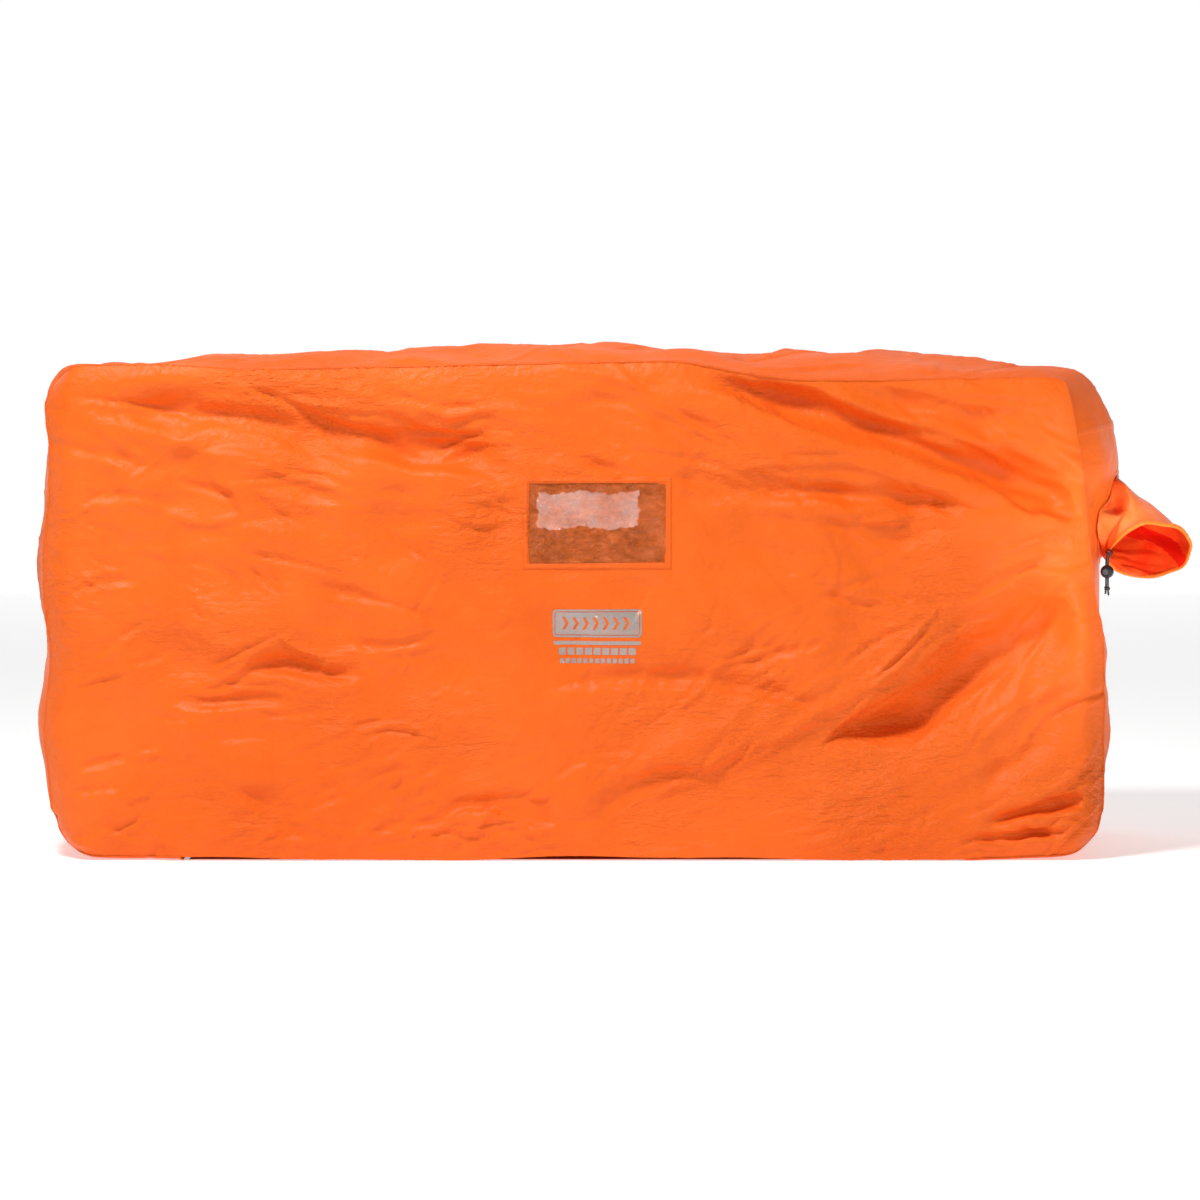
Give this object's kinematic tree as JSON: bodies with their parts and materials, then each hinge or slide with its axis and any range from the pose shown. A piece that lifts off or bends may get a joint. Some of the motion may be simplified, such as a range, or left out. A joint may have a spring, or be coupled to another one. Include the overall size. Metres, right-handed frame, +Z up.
{
  "type": "emergency group shelter",
  "caption": "Floorless boxy cloth shelter with clear windows, fold-up seat panels inside both long walls, and a snorkel vent sleeve closed by a drawcord with a ball cord lock.",
  "frame": {"origin": "middle of the bottom of the part's box, vent included, on the ground plane", "axes": "+X along the length towards the end with the vent, -Y the front wall with the badge, +Z up"},
  "size_m": [2.0768, 0.6043, 0.915],
  "materials": {
    "shell_cloth": "coated nylon, slight sheen",
    "vent_cloth": "coated nylon, slight sheen",
    "seat_cloth": "coated nylon, slight sheen",
    "hem_cloth": "folded coated nylon, stitched",
    "seam_tape": "heat-sealed tape, smooth",
    "window_film": "clear film, glossy and creased",
    "silver_ink": "reflective ink, worn",
    "cord": "braided cord",
    "eyelet_plastic": "moulded, matte",
    "lock_plastic": "moulded, satin",
    "button_plastic": "moulded, satin",
    "spring_steel": "drawn wire"
  },
  "bodies": {
    "shell": {"front_wall": "shell_cloth", "back_wall": "shell_cloth", "roof_panel": "shell_cloth", "left_end_panel": "shell_cloth", "right_end_panel": "shell_cloth", "left_floor_strip": "shell_cloth", "right_floor_strip": "shell_cloth", "left_floor_hem": "hem_cloth", "right_floor_hem": "hem_cloth", "front_seam_tape": "seam_tape", "back_seam_tape": "seam_tape", "front_window": "window_film", "front_window_tape": "seam_tape", "back_window": "window_film", "back_window_tape": "seam_tape", "front_print": "silver_ink", "vent_seam_ring": "hem_cloth"},
    "front_seat": {"front_seat": "seat_cloth", "front_seat_hem": "hem_cloth"},
    "back_seat": {"back_seat": "seat_cloth", "back_seat_hem": "hem_cloth"},
    "vent": {"vent_sleeve": "vent_cloth", "vent_hem": "hem_cloth", "vent_cord_eyelet": "eyelet_plastic", "vent_drawcord": "cord"},
    "cord_tail": {"cord_strand_left": "cord", "cord_strand_right": "cord", "cord_end_knot": "cord"},
    "cord_lock": {"cord_lock_barrel": "lock_plastic", "cord_lock_spring": "spring_steel"},
    "lock_plunger": {"cord_lock_plunger": "button_plastic"}
  },
  "joints": [
    {"name": "front_seat_fold", "type": "hinge", "parent": "shell", "child": "front_seat", "pos_m": [-0.073, -0.2985, 0.001], "axis": [1, 0, 0], "range_deg": [0, 85]},
    {"name": "back_seat_fold", "type": "hinge", "parent": "shell", "child": "back_seat", "pos_m": [-0.073, 0.2985, 0.001], "axis": [-1, 0, 0], "range_deg": [0, 85]},
    {"name": "vent_swing", "type": "hinge", "parent": "shell", "child": "vent", "pos_m": [0.88328, -0.14034, 0.608], "axis": [0.9881, -0.1537, 0], "range_deg": [-35, 25]},
    {"name": "cord_swing", "type": "hinge", "parent": "vent", "child": "cord_tail", "pos_m": [0.88743, -0.23358, 0.5476], "axis": [0.9294, -0.369, 0], "range_deg": [-30, 30]},
    {"name": "cord_lock_slide", "type": "slide", "parent": "cord_tail", "child": "cord_lock", "axis": [0, 0, 1], "range_m": [-0.0135, 0.0015]},
    {"name": "plunger_press", "type": "slide", "parent": "cord_lock", "child": "lock_plunger", "axis": [0.369, 0.9294, 0], "range_m": [0, 0.0035], "stiffness_N_per_m": 800, "springref_m": -0.005, "deforming": ["cord_lock_spring"]}
  ]
}
